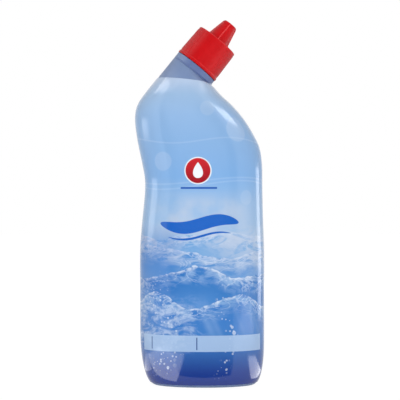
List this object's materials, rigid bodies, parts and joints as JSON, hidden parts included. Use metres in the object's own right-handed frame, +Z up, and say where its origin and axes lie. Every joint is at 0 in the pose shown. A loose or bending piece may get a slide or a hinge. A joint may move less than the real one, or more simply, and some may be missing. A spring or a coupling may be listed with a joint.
{
  "type": "toilet cleaner bottle",
  "caption": "Flat-oval cleaner bottle with a leaning neck, a printed shrink sleeve, a gel fill, a pour nozzle and a ribbed-cone screw cap.",
  "frame": {"origin": "middle of the footprint, on the surface that the bottle stands on", "axes": "+Z up; +X to the side that the neck leans to; +Y through the bottle's thin side, to the back"},
  "size_m": [0.0952, 0.058, 0.2673],
  "materials": {
    "bottle_plastic": "satin blue-grey blow-moulded polyethylene",
    "sleeve_film": "glossy printed shrink film, pale blue above to navy below",
    "gel": "blue cleaning gel",
    "nozzle_plastic": "natural polyethylene",
    "ring_foam": "foamed polyethylene",
    "cap_plastic": "semi-gloss red polypropylene"
  },
  "bodies": {
    "bottle": {"bottle": "bottle_plastic", "shrink_sleeve": "sleeve_film", "cleaning_gel": "gel", "nozzle": "nozzle_plastic"},
    "seal": {"sealing_ring": "ring_foam"},
    "cap": {"cap": "cap_plastic"}
  },
  "joints": [
    {"name": "cap_rise", "type": "slide", "parent": "bottle", "child": "seal", "axis": [0.6307, 0, 0.776], "range_m": [0, 0.00635]},
    {"name": "cap_turn", "type": "hinge", "parent": "seal", "child": "cap", "pos_m": [-0.00223, 0, 0.2334], "axis": [0.6307, 0, 0.776], "range_deg": [0, 540]}
  ],
  "couplings": [
    {"joint": "cap_rise", "follows": "cap_turn", "m_per_rad": 0.0006737}
  ]
}
